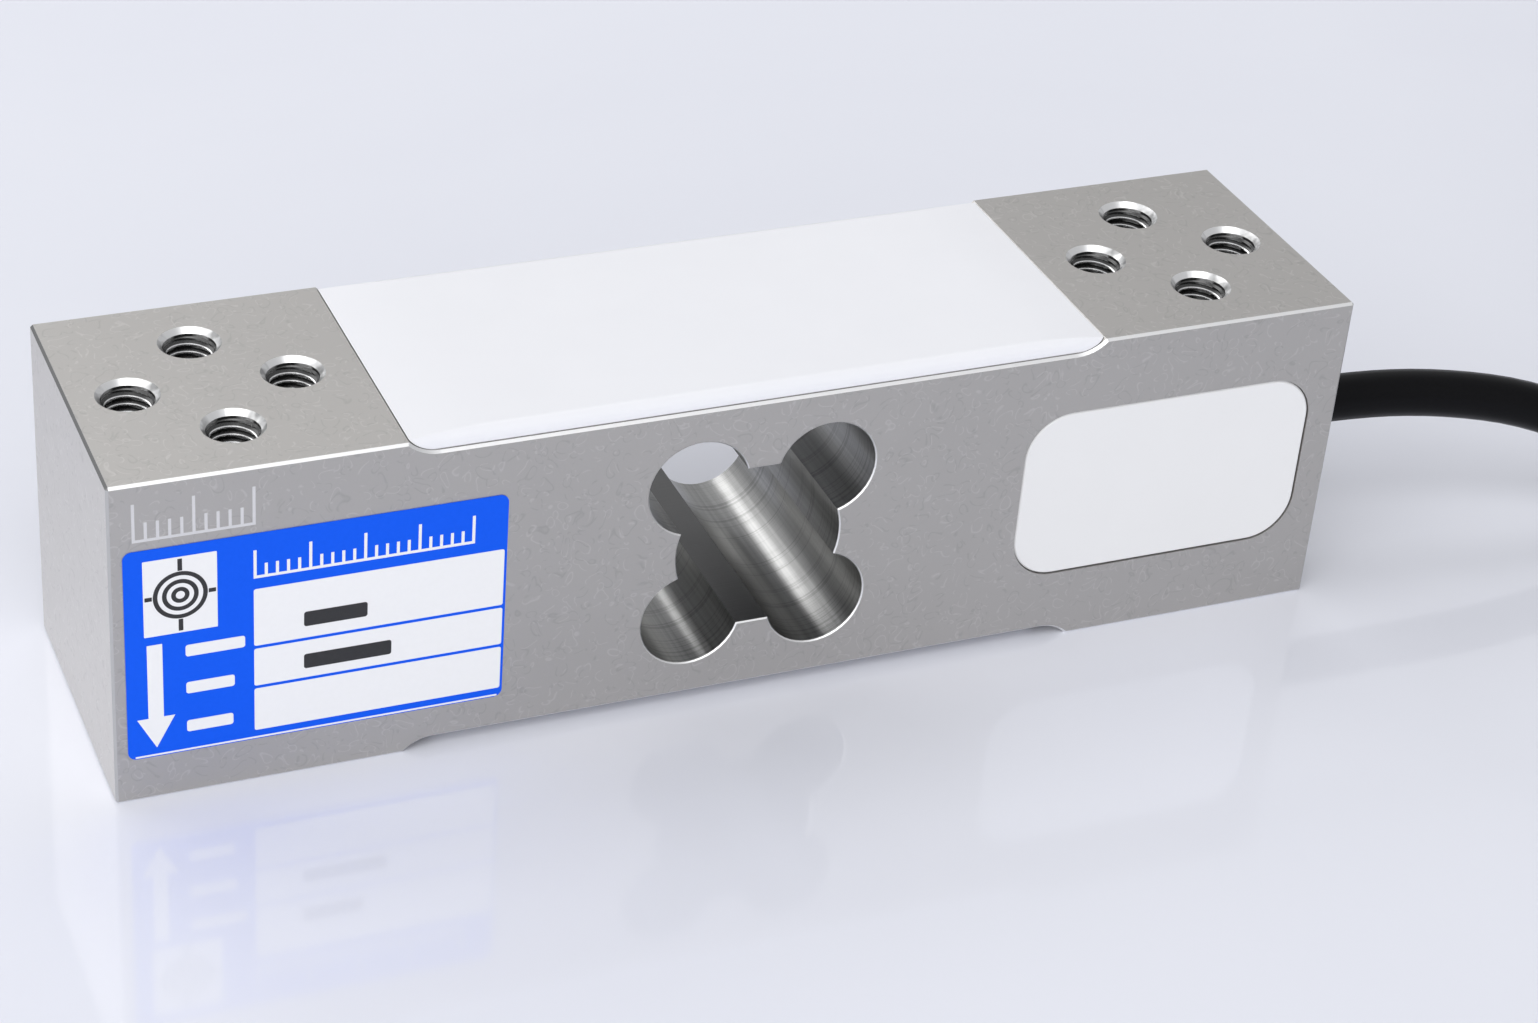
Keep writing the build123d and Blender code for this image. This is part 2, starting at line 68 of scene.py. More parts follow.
# %% [markdown]
# ## Camera
#
# The photograph was taken from a little above and to the left of the front face, with a lens long
# enough to keep the edges nearly parallel. The place and turn of the camera were fitted to the
# beam's corners, so they are typed as they came out. The picture had been trimmed on its left, and
# a small lens shift says so without turning the camera.

# %% Camera
picture_width, picture_height = 1538, 1023
sensor_width_mm = 36.0
focal_length_px = 3421.7
trimmed_px = 100.0
camera_place = Vector((-140.16, -314.39, 232.53)) * MM
picture_right = Vector((0.929885, -0.363077, 0.059062))
picture_down = Vector((-0.149142, -0.518894, -0.841728))
sight_line = Vector((0.336259, 0.773902, -0.536662))

camera_data = bpy.data.cameras.new("camera")
camera_data.sensor_width = sensor_width_mm
camera_data.lens = focal_length_px * sensor_width_mm / picture_width
camera_data.shift_x = trimmed_px / picture_width
camera_data.clip_start = 10 * MM
camera_data.clip_end = 20.0
camera = bpy.data.objects.new("camera", camera_data)
bpy.context.scene.collection.objects.link(camera)
turn = Matrix((picture_right, -picture_down, -sight_line)).transposed()
camera.matrix_world = Matrix.LocRotScale(camera_place, turn.to_quaternion(), None)
bpy.context.scene.camera = camera
print("lens", round(camera_data.lens, 1), "mm, shift", round(camera_data.shift_x, 3))

# %% [markdown]
# ## Materials as expressions
#
# A procedural finish is a chain of small sums on noise patterns. Wiring such a chain node by node
# hides what it means, so one class wraps an output socket and lets Python's own operators add the
# Math nodes. A second class holds one material and adds every other kind of node.

# %% The socket and the finish
class Value:
    """One output socket of a node tree, which can be used in plain expressions."""

    def __init__(self, finish, socket):
        self.finish = finish
        self.socket = socket

    def __add__(self, other):
        return self.finish.maths("ADD", self, other)

    def __radd__(self, other):
        return self.finish.maths("ADD", other, self)

    def __sub__(self, other):
        return self.finish.maths("SUBTRACT", self, other)

    def __rsub__(self, other):
        return self.finish.maths("SUBTRACT", other, self)

    def __mul__(self, other):
        return self.finish.maths("MULTIPLY", self, other)

    def __rmul__(self, other):
        return self.finish.maths("MULTIPLY", other, self)

    def __truediv__(self, other):
        return self.finish.maths("DIVIDE", self, other)

    def __abs__(self):
        return self.finish.maths("ABSOLUTE", self)

    def above(self, limit, softness):
        """A mask that climbs from 0 to 1 as the value passes a limit, over a band as wide as softness."""
        return self.finish.maths("MULTIPLY_ADD", self, 1 / softness, 0.5 - limit / softness, clamp=True)

    def below(self, limit, softness):
        """A mask that falls from 1 to 0 as the value passes a limit."""
        return 1 - self.above(limit, softness)

    def fraction(self):
        """What is left of the value after its whole part, which repeats a pattern."""
        return self.finish.maths("FRACT", self)


class Finish:
    """One material on the Principled shader."""

    def __init__(self, name, **constants):
        self.material = bpy.data.materials.new(name)
        self.material.use_nodes = True
        self.tree = self.material.node_tree
        self.shader = self.tree.nodes["Principled BSDF"]
        for socket_name, constant in constants.items():
            self.shader.inputs[socket_name.replace("_", " ")].default_value = constant

    def node(self, kind, settings=None, inputs=None, output=0):
        """Add a node: its settings first, then the values or links of its sockets."""
        made = self.tree.nodes.new(kind)
        for setting, choice in (settings or {}).items():
            if setting == "stops":
                ramp = made.color_ramp
                while len(ramp.elements) < len(choice):
                    ramp.elements.new(0.5)
                for element, (place, colour) in zip(ramp.elements, choice):
                    element.position = place
                    element.color = (*colour, 1.0)
            else:
                setattr(made, setting, choice)
        for socket_name, feed in (inputs or {}).items():
            self.feed(made.inputs[socket_name], feed)
        return Value(self, made.outputs[output])

    def feed(self, socket, feed):
        """Link a value to a socket, or set a plain number or colour on it."""
        if isinstance(feed, Value):
            self.tree.links.new(feed.socket, socket)
        else:
            socket.default_value = feed

    def maths(self, operation, *feeds, clamp=False):
        """A sum on plain numbers, which the operators of Value call."""
        settings = {"operation": operation, "use_clamp": clamp}
        return self.node("ShaderNodeMath", settings, dict(enumerate(feeds)))

    def blend(self, mask, first, second):
        """A colour that goes from the first to the second as the mask goes from 0 to 1."""
        inputs = {"Factor": mask, 6: colour_of(first), 7: colour_of(second)}
        return self.node("ShaderNodeMix", {"data_type": "RGBA"}, inputs, output=2)

    def place(self):
        """Where the surface point is on the object, in metres, as a vector."""
        return self.node("ShaderNodeTexCoord", output=3)

    def facing(self):
        """The surface's own normal, which turns with the object."""
        return self.node("ShaderNodeTexCoord", output=1)

    def along(self, vector):
        """The X, Y and Z of a vector as three values."""
        split = self.node("ShaderNodeSeparateXYZ", None, {0: vector})
        outputs = split.socket.node.outputs
        return [Value(self, outputs[axis]) for axis in range(3)]

    def vector_maths(self, operation, *feeds, output=0):
        """A sum on whole vectors, such as places and directions."""
        settings = {"operation": operation}
        return self.node("ShaderNodeVectorMath", settings, dict(enumerate(feeds)), output)

    def stretched(self, vector, scale):
        """The vector with each axis multiplied, so that a round pattern becomes a long one."""
        return self.vector_maths("MULTIPLY", vector, scale)

    def bent(self, vector, size, reach):
        """The vector pushed about by noise, so that a regular pattern on it wavers."""
        inputs = {"Vector": vector, "Scale": 1 / size, "Detail": 0.0}
        push = self.node("ShaderNodeTexNoise", {"normalize": False}, inputs, output=1)
        return self.vector_maths("ADD", vector, self.stretched(push, (reach, reach, reach)))

    def noise(self, vector, size, detail=2.0, distortion=0.0, roughness=0.5):
        """Noise whose blotches are about as wide as size, in metres."""
        inputs = {
            "Vector": vector,
            "Scale": 1 / size,
            "Detail": detail,
            "Roughness": roughness,
            "Distortion": distortion,
        }
        return self.node("ShaderNodeTexNoise", {"normalize": True}, inputs)

    def colour(self, feed):
        self.feed(self.shader.inputs["Base Color"], colour_of(feed))

    def roughness(self, feed):
        self.feed(self.shader.inputs["Roughness"], feed)

    def bump(self, height, distance, strength=1.0):
        """Tilt the shading by a height pattern, where distance is the pattern's depth in metres."""
        inputs = {"Height": height, "Distance": distance, "Strength": strength}
        self.feed(self.shader.inputs["Normal"], self.node("ShaderNodeBump", None, inputs))


def colour_of(feed):
    """A link as it is, and a plain colour with the alpha that sockets want."""
    return feed if isinstance(feed, Value) else (*feed, 1.0)


def dress(node_name, finish):
    """Give a CAD node its finish."""
    node = nodes[node_name]
    node.data.materials.clear()
    node.data.materials.append(finish.material)
    print(node_name, "has the finish", finish.material.name)


# %% [markdown]
# ## Pieces by hand
#
# New pieces are made as a modeller makes them: a primitive is put in its place, shaped in edit mode
# and finished with modifiers. An operator works on everything that is selected, so each piece starts
# with nothing selected, and its place goes into its mesh before it gets a finish.

# %% Helpers for modelling
def start_piece():
    """Leave edit mode and select nothing, so that the next primitive is alone."""
    if bpy.context.mode != "OBJECT":
        bpy.ops.object.mode_set(mode="OBJECT")
    bpy.ops.object.select_all(action="DESELECT")


def pick(piece):
    """Make one piece the only selected and the active one."""
    start_piece()
    piece.select_set(True)
    bpy.context.view_layer.objects.active = piece


def select_where(piece, question):
    """In edit mode, select only the vertices whose place answers the question, and what they span."""
    bpy.ops.mesh.select_mode(type="VERT")
    bpy.ops.mesh.select_all(action="DESELECT")
    sheet = bmesh.from_edit_mesh(piece.data)
    for vertex in sheet.verts:
        vertex.select_set(question(vertex.co))
    sheet.select_flush_mode()
    bmesh.update_edit_mesh(piece.data)


def settle(piece, name, finish):
    """Name a finished piece, give it its finish, and let it ride on the part's one body."""
    pick(piece)
    bpy.ops.object.transform_apply(location=True, rotation=True, scale=True)
    piece.name = name
    piece.data.name = name
    piece.data.materials.clear()
    piece.data.materials.append(finish.material)
    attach(piece, "root")
    print(name, "has", len(piece.data.polygons), "faces")


def joined(pieces):
    """Join several pieces into the first one."""
    start_piece()
    for piece in pieces:
        piece.select_set(True)
    bpy.context.view_layer.objects.active = pieces[0]
    bpy.ops.object.join()
    return pieces[0]


# %% [markdown]
# ## Stage
#
# The part stands on a plain pale floor under a pale room. The floor takes the part's shadow and a
# faint reflection, as polished stone does. The Fresnel node gives the share of gloss, with a limit,
# because without one the floor would mirror the lamps too strongly in low views. The shine fades out
# away from the part, where it would mirror nothing but lamps. The room that polished surfaces mirror
# has its own tone, which the Light Path node tells apart from the room that lights the part.

# %% Floor and room
floor_size = 8.0
floor_tone = (0.82, 0.835, 0.905)
floor_cloud_tone = (0.785, 0.80, 0.875)
cloud_size = 160 * MM
stone_ior = 1.55
most_shine = 0.10
shine_blur = 0.07
shine_reach = 0.34
shine_fade = 0.40

start_piece()
bpy.ops.mesh.primitive_plane_add(size=floor_size, location=(0, 0, 0))
floor = bpy.context.object
floor.name = "floor"
floor_finish = Finish("polished_floor", Roughness=1.0, Specular_IOR_Level=0.0)
floor_place = floor_finish.place()
cloud = floor_finish.noise(floor_place, cloud_size, detail=5.0, distortion=1.2)
floor_finish.colour(floor_finish.blend(cloud.above(0.52, 0.5), floor_tone, floor_cloud_tone))
gloss_inputs = {"Color": (1, 1, 1, 1), "Roughness": shine_blur}
shine = floor_finish.node("ShaderNodeBsdfGlossy", None, gloss_inputs)
matte = Value(floor_finish, floor_finish.shader.outputs["BSDF"])
from_part = floor_finish.vector_maths("LENGTH", floor_place, output=1)
fresnel = floor_finish.node("ShaderNodeFresnel", None, {"IOR": stone_ior})
near_part = from_part.below(shine_reach, shine_fade)
shine_share = floor_finish.maths("MINIMUM", fresnel, most_shine) * near_part
polished = floor_finish.node("ShaderNodeMixShader", None, {0: shine_share, 1: matte, 2: shine})
floor_finish.feed(floor_finish.tree.nodes["Material Output"].inputs["Surface"], polished)
floor.data.materials.append(floor_finish.material)
print("the floor is", floor_size, "m wide")

seen_tone = (0.60, 0.605, 0.62)
room_tone = (0.86, 0.87, 0.90)
room_strength = 0.35
world = bpy.data.worlds.new("pale_room")
world.use_nodes = True
bpy.context.scene.world = world
tree = world.node_tree
room = tree.nodes["Background"]
room.inputs["Color"].default_value = (*room_tone, 1.0)
room.inputs["Strength"].default_value = room_strength
seen = tree.nodes.new("ShaderNodeBackground")
seen.inputs["Color"].default_value = (*seen_tone, 1.0)
rays = tree.nodes.new("ShaderNodeLightPath")
sum_of_rays = rays.outputs["Is Camera Ray"]
for kind in ("Is Glossy Ray", "Is Transmission Ray"):
    add = tree.nodes.new("ShaderNodeMath")
    add.use_clamp = True
    tree.links.new(sum_of_rays, add.inputs[0])
    tree.links.new(rays.outputs[kind], add.inputs[1])
    sum_of_rays = add.outputs[0]
mixer = tree.nodes.new("ShaderNodeMixShader")
tree.links.new(sum_of_rays, mixer.inputs[0])
tree.links.new(room.outputs[0], mixer.inputs[1])
tree.links.new(seen.outputs[0], mixer.inputs[2])
tree.links.new(mixer.outputs[0], tree.nodes["World Output"].inputs["Surface"])
bpy.context.scene.view_settings.view_transform = "Standard"

# %% [markdown]
# ## Light
#
# Satin metal shows the room more than its own colour, so big soft lamps matter more than strong
# ones. A high one behind brightens the top face. A smaller one behind and to the left draws the
# streak along the bore. Two on the left light the end face, and a low and a high one in front light
# the front face and its label. The two widest stand far off, so that they light the floor evenly.

# %% Lamps
def soft_lamp(name, place, aim, size, power):
    """A square soft lamp at a place, in metres, turned towards a point."""
    lamp = bpy.data.lights.new(name, "AREA")
    lamp.shape = "SQUARE"
    lamp.size = size
    lamp.energy = power
    holder = bpy.data.objects.new(name, lamp)
    bpy.context.scene.collection.objects.link(holder)
    holder.location = place
    holder.rotation_euler = (Vector(aim) - Vector(place)).to_track_quat("-Z", "Y").to_euler()
    print(name, "is", size, "m wide and gives", power, "W")


middle = Vector((0, 0, mid_z))
back_power = 3.1
streak_power = 2.1
left_back_power = 3.2
left_power = 25.6
front_power = 1.9
low_front_power = 80.0
soft_lamp("back_lamp", (0.31, 0.74, 1.50), middle, 0.6, back_power)
soft_lamp("streak_lamp", (-0.25, 1.10, 0.90), middle, 0.4, streak_power)
soft_lamp("left_back_lamp", (-0.75, 0.75, 0.95), middle, 0.7, left_back_power)
soft_lamp("left_lamp", (-2.70, -0.50, 1.38), middle, 2.8, left_power)
soft_lamp("front_lamp", (-0.30, -0.70, 1.15), middle, 0.7, front_power)
soft_lamp("low_front_lamp", (-1.20, -2.40, 1.88), middle, 4.4, low_front_power)

# %% [markdown]
# ## Cable
#
# The cable is a fixed length of something springy: it leaves the end face straight, sags to the
# floor in one slow curve, and the rest of it is put away in a tied hank. One NURBS spline holds
# all of it. The free stretch follows the drawing's own points. The turns of the hank are worked
# out by a loop, because they are the same oblong again and again, one cable further in or up.

# %% The cable's line
cable_diameter = 6 * MM
free_route = [
    Vector(point) * MM
    for point in (
        (64.0, -6.5, 20.5),
        (80.0, -6.5, 20.5),
        (96.0, -7.6, 19.8),
        (112.0, -11.0, 16.9),
        (125.6, -16.0, 9.7),
        (138.8, -21.4, 3.8),
        (151.5, -26.0, 3.8),
    )
]

hank_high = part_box("cable_hank")[1]
hank_turn = 24 * MM
hank_inner_turn = 18 * MM
hank_lead_in = 18 * MM
far_centre_x = hank_high.x - hank_turn - cable_diameter / 2
lead_way = (free_route[-1] - free_route[-2]).normalized()
beside_lead = Vector((-lead_way.y, lead_way.x, 0))
near_centre = free_route[-1] + lead_way * hank_lead_in + beside_lead * hank_turn
hank_straight = far_centre_x - near_centre.x
lead_angle = lead_way.angle(Vector((1, 0, 0)))
print("hank straight", round(hank_straight / MM, 2), "mm")
print("the lead-in joins it", round(degrees(lead_angle), 2), "degrees early")

# %% [markdown]
# Each turn keeps its slot in the bundle until a short crossing takes it to the next slot. The
# crossings of later turns come earlier, so no turn has to pass through another. The slots climb in
# a zigzag: outer, inner, up, outer, up and so on, as a hand lays a cable.

# %% The hank's turns
slots = [(hank_turn, 0), (hank_inner_turn, 0), (hank_inner_turn, 1), (hank_turn, 1)]
slots += [(turn_radius, layer + 2) for turn_radius, layer in slots]
full_turns = len(slots) - 1
last_crossing = 66 * MM
crossing_step = 17.5 * MM
crossing_length = 50 * MM
end_of_cable = 12 * MM
arc_points = 7
straight_points = 4


def oblong_points():
    """One turn of the oblong, as rows of how far along it, centre, angle and swell.

    How far is measured on the mean turn. A control point of an arc stands a little outside it, and
    the swell says by how much.
    """
    near = Vector((near_centre.x, near_centre.y, 0))
    far = near + Vector((hank_straight, 0, 0))
    mean_turn = (hank_turn + hank_inner_turn) / 2
    rows = []
    travel = 0.0

    def add_arc(centre, start, sweep, count):
        nonlocal travel
        arc_step = sweep / count
        for number in range(count):
            angle = (number + 0.5) * arc_step
            rows.append((travel + mean_turn * angle, centre, start + angle, 1 / cos(arc_step / 2)))
        travel += mean_turn * sweep

    def add_straight(first, last, angle):
        nonlocal travel
        for number in range(straight_points):
            share = (number + 0.5) / straight_points
            rows.append((travel + hank_straight * share, first.lerp(last, share), angle, 1.0))
        travel += hank_straight

    add_arc(near, -pi / 2 - lead_angle, lead_angle, 1)
    add_straight(near, far, -pi / 2)
    add_arc(far, -pi / 2, pi, arc_points)
    add_straight(far, near, pi / 2)
    add_arc(near, pi / 2, pi - lead_angle, arc_points - 1)
    return rows


def eased(share):
    """A share that starts and ends gently, and stays between 0 and 1."""
    share = min(1.0, max(0.0, share))
    return share * share * (3 - 2 * share)


def hank_points():
    """Control points of all turns, one after the other, from the lead-in to the cable's cut end."""
    points = []
    for turn_number, slot in enumerate(slots):
        following = slots[min(turn_number + 1, full_turns)]
        crossing = last_crossing + (full_turns - 1 - turn_number) * crossing_step
        for travel, centre, angle, swell in oblong_points():
            if turn_number == full_turns and centre.x > near_centre.x + end_of_cable:
                return points
            share = eased((travel - crossing) / crossing_length)
            turn_radius = slot[0] + (following[0] - slot[0]) * share
            layer = slot[1] + (following[1] - slot[1]) * share
            out = Vector((cos(angle), sin(angle), 0)) * turn_radius * swell
            height = free_route[-1].z + layer * cable_diameter
            points.append(Vector((centre.x + out.x, centre.y + out.y, height)))
    return points


cable_points = free_route + hank_points()
top_layer = slots[-1][1]
cable_points.append(Vector((
    near_centre.x + end_of_cable,
    near_centre.y - hank_turn,
    free_route[-1].z + top_layer * cable_diameter,
)))
print(len(cable_points), "control points")

# %% Cable as a curve
def smooth_line(name, points):
    """A NURBS curve with no thickness, whose one spline has the points as its control points."""
    data = bpy.data.curves.new(name, "CURVE")
    data.dimensions = "3D"
    spline = data.splines.new("NURBS")
    spline.points.add(len(points) - 1)
    for control, point in zip(spline.points, points):
        control.co = (*point, 1.0)
    spline.order_u = 3
    spline.use_endpoint_u = True
    spline.resolution_u = 6
    return bpy.data.objects.new(name, data)


def tube_curve(name, points, radius, finish, facets=6):
    """A smooth round tube along control points, as a curve with a bevel."""
    curve = smooth_line(name, points)
    curve.data.bevel_depth = radius
    curve.data.bevel_resolution = facets
    curve.data.use_fill_caps = True
    curve.data.materials.append(finish.material)
    bpy.context.scene.collection.objects.link(curve)
    return curve


def line_length(points):
    """How long the smooth line of some control points is, measured on its mesh."""
    line = smooth_line("line_to_measure", points)
    data = line.data
    mesh = bpy.data.meshes.new_from_object(line)
    places = [vertex.co.copy() for vertex in mesh.vertices]
    bpy.data.objects.remove(line)
    bpy.data.curves.remove(data)
    bpy.data.meshes.remove(mesh)
    return sum((after - before).length for before, after in zip(places, places[1:]))


cable_finish = Finish("cable_jacket", IOR=1.5, Specular_IOR_Level=0.1)
jacket_place = cable_finish.place()
jacket_grain = cable_finish.noise(jacket_place, 0.35 * MM, detail=3.0)
cable_finish.colour(cable_finish.blend(jacket_grain, (0.002, 0.002, 0.0025), (0.004, 0.004, 0.005)))
cable_finish.roughness(0.28 + 0.12 * jacket_grain)
cable_finish.bump(jacket_grain, 0.02 * MM, 0.35)

cable = tube_curve("cable", cable_points, cable_diameter / 2, cable_finish)
cable_length = line_length(cable_points)
print("cable", round(cable_length, 4), "m long on its centreline")
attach(cable, "root")
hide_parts("cable_run", "cable_hank")

# %% [markdown]
# At its far end the jacket stops in a shrunk sleeve, and four coloured cores and the screen's drain
# wire come out of it and lie on the turns below. Each is a smooth curve over the solid core that it
# stands for: level out of the sleeve, down to the turns, then straight along them.

# %% Cores and drain wire
def plain_finish(name, tone, shade, gloss, grain_size=0.4 * MM, depth=0.01 * MM, **constants):
    """A finish with a fine grain between two near tones, for moulded, drawn or dipped pieces."""
    finish = Finish(name, **constants)
    grain_noise = finish.noise(finish.place(), grain_size, detail=3.0)
    finish.colour(finish.blend(grain_noise, tone, shade))
    finish.roughness(gloss - 0.04 + 0.08 * grain_noise)
    finish.bump(grain_noise, depth, 0.4)
    return finish


core_finishes = {
    "core_red": plain_finish("core_red", (0.50, 0.02, 0.02), (0.56, 0.03, 0.025), 0.36),
    "core_green": plain_finish("core_green", (0.02, 0.25, 0.06), (0.03, 0.29, 0.08), 0.36),
    "core_white": plain_finish("core_white", (0.74, 0.74, 0.71), (0.80, 0.80, 0.77), 0.36),
    "core_black": plain_finish("core_black", (0.014, 0.014, 0.015), (0.022, 0.022, 0.024), 0.36),
}
tinned_finish = plain_finish(
    "tinned_copper", (0.62, 0.61, 0.58), (0.50, 0.49, 0.46), 0.30, 0.15 * MM, Metallic=1.0
)

core_radius = 0.55 * MM
core_pitch = 1.12 * MM
core_rest_pitch = 1.2 * MM
core_level_run = 5 * MM
core_fall_run = 8 * MM
sleeve_low, sleeve_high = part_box("end_sleeve")
sleeve_centre = (sleeve_low + sleeve_high) / 2
tail_names = list(core_finishes) + ["screen_drain"]
for number, tail_name in enumerate(tail_names):
    across = number - (len(tail_names) - 1) / 2
    core_low, core_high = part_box(tail_name)
    exit_y = sleeve_centre.y + across * core_pitch
    rest_y = sleeve_centre.y + across * core_rest_pitch
    rest_z = core_low.z + core_radius
    fall_x = sleeve_high.x + core_level_run
    core_points = [
        Vector((sleeve_high.x, exit_y, sleeve_centre.z)),
        Vector((fall_x - core_level_run / 3, exit_y, sleeve_centre.z)),
        Vector((fall_x + core_fall_run / 2, (exit_y + rest_y) / 2, (sleeve_centre.z + rest_z) / 2)),
        Vector((fall_x + core_fall_run * 1.2, rest_y, rest_z)),
        Vector((core_high.x - core_level_run, rest_y, rest_z)),
        Vector((core_high.x, rest_y, rest_z)),
    ]
    finish = core_finishes.get(tail_name, tinned_finish)
    tail_curve = tube_curve(tail_name + "_wire", core_points, core_radius, finish, facets=3)
    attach(tail_curve, "root")
    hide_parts(tail_name)
    "tinned_copper" if tail_name == "screen_drain" else tail_name

# %% [markdown]
# ## Satin aluminium
#
# The faces of the beam were ground and then finely blasted, which leaves tiny curled marks that
# only differ a little in tone. A Voronoi pattern gives each point its distance to the nearest of many
# scattered centres, so one distance is a small circle, and noise cuts the circles into curls. Every
# place that a different tool cut has its own look, so the finish starts with masks: the bored
# window, the keyway, the broken edges and the countersinks. Some of these places get painted light:
# painted shade in the bore, on the keyway's floors, in the drilled holes and on the load end's top
# chamfer, and painted highlights on the front and back edges and in the countersinks.

# %% Where each tool went
beam_finish = Finish("satin_aluminium", Metallic=1.0)
place = beam_finish.place()
x, y, z = beam_finish.along(place)
normal_x, normal_y, normal_z = beam_finish.along(beam_finish.facing())
step = 0.05 * MM

window_half_width = 14.4 * MM
window_half_height = 15.4 * MM
near_window = abs(x).below(window_half_width, step) * abs(z - mid_z).below(window_half_height, step)
in_window = near_window * abs(normal_y).below(0.35, 0.1)
keyway_half_width = 3.0 * MM
# The flat floors of the keyway, which are painted near black below as shade.
keyway_shade_mask = in_window * abs(x).below(keyway_half_width, step) * abs(normal_z).above(0.98, 0.01)


def leaning(part):
    """A mask of the faces that lean by about 45 degrees, by one part of their normal."""
    return abs(part).above(0.5, 0.1) * abs(part).below(0.9, 0.1)


# The chamfers along the front and back edges, which are painted bright below as a highlight.
rim_highlight = leaning(normal_y)
end_band = 0.4 * MM
at_end = abs(x).above(beam_high.x - end_band, step)
end_rim = leaning(normal_x) * at_end
end_face = abs(normal_x).above(0.95, 0.04) * at_end

hole_circle_x = 59 * MM
hole_circle_radius = 9.25 * MM
countersink_radius = 3.6 * MM


def distance(finish, first, second):
    """The length of the hypotenuse over two values."""
    return finish.maths("SQRT", first * first + second * second)


def to_nearest_hole(finish, place_x, place_y):
    """How far a point is from the axis of the nearest of the eight holes."""
    from_circle = abs(abs(place_x) - hole_circle_x)
    from_middle = abs(place_y)
    end_holes = distance(finish, from_circle - hole_circle_radius, from_middle)
    side_holes = distance(finish, from_circle, from_middle - hole_circle_radius)
    return finish.maths("MINIMUM", end_holes, side_holes)


to_hole = to_nearest_hole(beam_finish, x, y)
in_hole = to_hole.below(countersink_radius + step, step) * abs(normal_z).below(0.95, 0.04)
turned = in_hole * abs(normal_z).above(0.5, 0.1)
# The drilled walls under the countersinks, which are painted near black below as shade.
hole_wall_shade = in_hole * abs(normal_z).below(0.5, 0.1)


def round_nearest_hole(finish, place_x, place_y):
    """The way from the nearest hole's axis to a point, as a vector about one unit long."""
    from_circle = abs(place_x) - hole_circle_x
    beside = abs(place_y).above(hole_circle_radius / 2, step)
    across = from_circle * beside + (abs(from_circle) - hole_circle_radius) * (1 - beside)
    along = place_y * (1 - beside) + (abs(place_y) - hole_circle_radius) * beside
    inputs = {0: across / countersink_radius, 1: along / countersink_radius}
    return finish.node("ShaderNodeCombineXYZ", None, inputs)


# %% Grain and curls of the blasted faces
grain = beam_finish.noise(place, 0.16 * MM, detail=3.0, roughness=0.65)
haze = beam_finish.noise(place, 22 * MM, detail=2.0)
bent_place = beam_finish.bent(place, 3.0 * MM, 1.6 * MM)


curl_radius = 0.40
curl_width = 0.03


def curled_marks(size, shift):
    """Short curls, as a mask: pieces of wavering circles about scattered centres."""
    moved = beam_finish.vector_maths("ADD", bent_place, (shift, shift, shift))
    inputs = {"Vector": moved, "Scale": 1 / size}
    to_centre = beam_finish.node("ShaderNodeTexVoronoi", {"feature": "F1"}, inputs)
    circles = abs(to_centre - curl_radius).below(curl_width, 0.05)
    return circles * beam_finish.noise(moved, 0.9 * MM, detail=0.0).above(0.47, 0.10)


pale_curls = curled_marks(1.7 * MM, 0.0)
deep_curls = curled_marks(2.1 * MM, 31 * MM)
satin = beam_finish.blend(haze, (0.440, 0.427, 0.412), (0.470, 0.456, 0.440))
satin = beam_finish.blend(end_face, satin, (0.57, 0.555, 0.54))
satin = beam_finish.blend(0.10 * grain + 0.15 * pale_curls, satin, (0.86, 0.85, 0.83))
satin = beam_finish.blend(0.14 * deep_curls, satin, (0.10, 0.10, 0.10))
satin_gloss = 0.40 + 0.10 * grain - 0.03 * pale_curls

# %% [markdown]
# A boring bar leaves rings, which are lines at one depth in the beam, and a reamer drags fine lines
# along the bore. The countersink's cone gets a painted highlight: a fan of brighter and darker
# sectors. The way from the hole's axis to a point is a short vector, so noise over that vector
# makes the fan.

# %% Tool marks
depth_only = beam_finish.stretched(place, (0.0, 1.0, 0.0))
ring_noise = beam_finish.noise(depth_only, 3.5 * MM, detail=3.0, roughness=0.7)
ring_levels = 11
rings = abs((ring_noise * ring_levels).fraction() - 0.5).below(0.05, 0.08)
drawn_out = beam_finish.stretched(place, (1.0, 0.01, 1.0))
drag = beam_finish.noise(drawn_out, 0.5 * MM, detail=4.0, roughness=0.55)
highlight_fan = beam_finish.noise(round_nearest_hole(beam_finish, x, y), 0.36, detail=1.0)

# Drag lines and rings of the bore are tool marks, on a tone painted darker than the blasted faces as shade
# in the window. The keyway's floors are painted near black as shade.
bore_tone_with_shade = beam_finish.blend(drag.above(0.5, 0.6), (0.25, 0.25, 0.245), (0.39, 0.39, 0.385))
bore_tone_with_shade = beam_finish.blend(0.28 * rings, bore_tone_with_shade, (0.06, 0.06, 0.06))
bore_tone_with_shade = beam_finish.blend(keyway_shade_mask, bore_tone_with_shade, (0.13, 0.13, 0.13))
bored_gloss = 0.24 + 0.14 * drag
# Painted highlight in the countersinks: bright and dark sectors round each hole's axis.
turned_tone_and_highlight = beam_finish.blend(highlight_fan.above(0.5, 0.22), (0.30, 0.30, 0.30), (0.72, 0.72, 0.72))
# The load end's top chamfer, facing up and to the left, is painted dark as shade.
load_end_rim_shade = end_rim * normal_x.below(-0.3, 0.1) * normal_z.above(0.3, 0.1)

# %% The beam's finish
surface = beam_finish.blend(in_window, satin, bore_tone_with_shade)
surface = beam_finish.blend(turned, surface, turned_tone_and_highlight)
# Painted shade in the drilled holes.
surface = beam_finish.blend(hole_wall_shade, surface, (0.06, 0.06, 0.06))
# Painted highlight on the front and back edge chamfers.
surface = beam_finish.blend(rim_highlight, surface, (0.80, 0.80, 0.80))
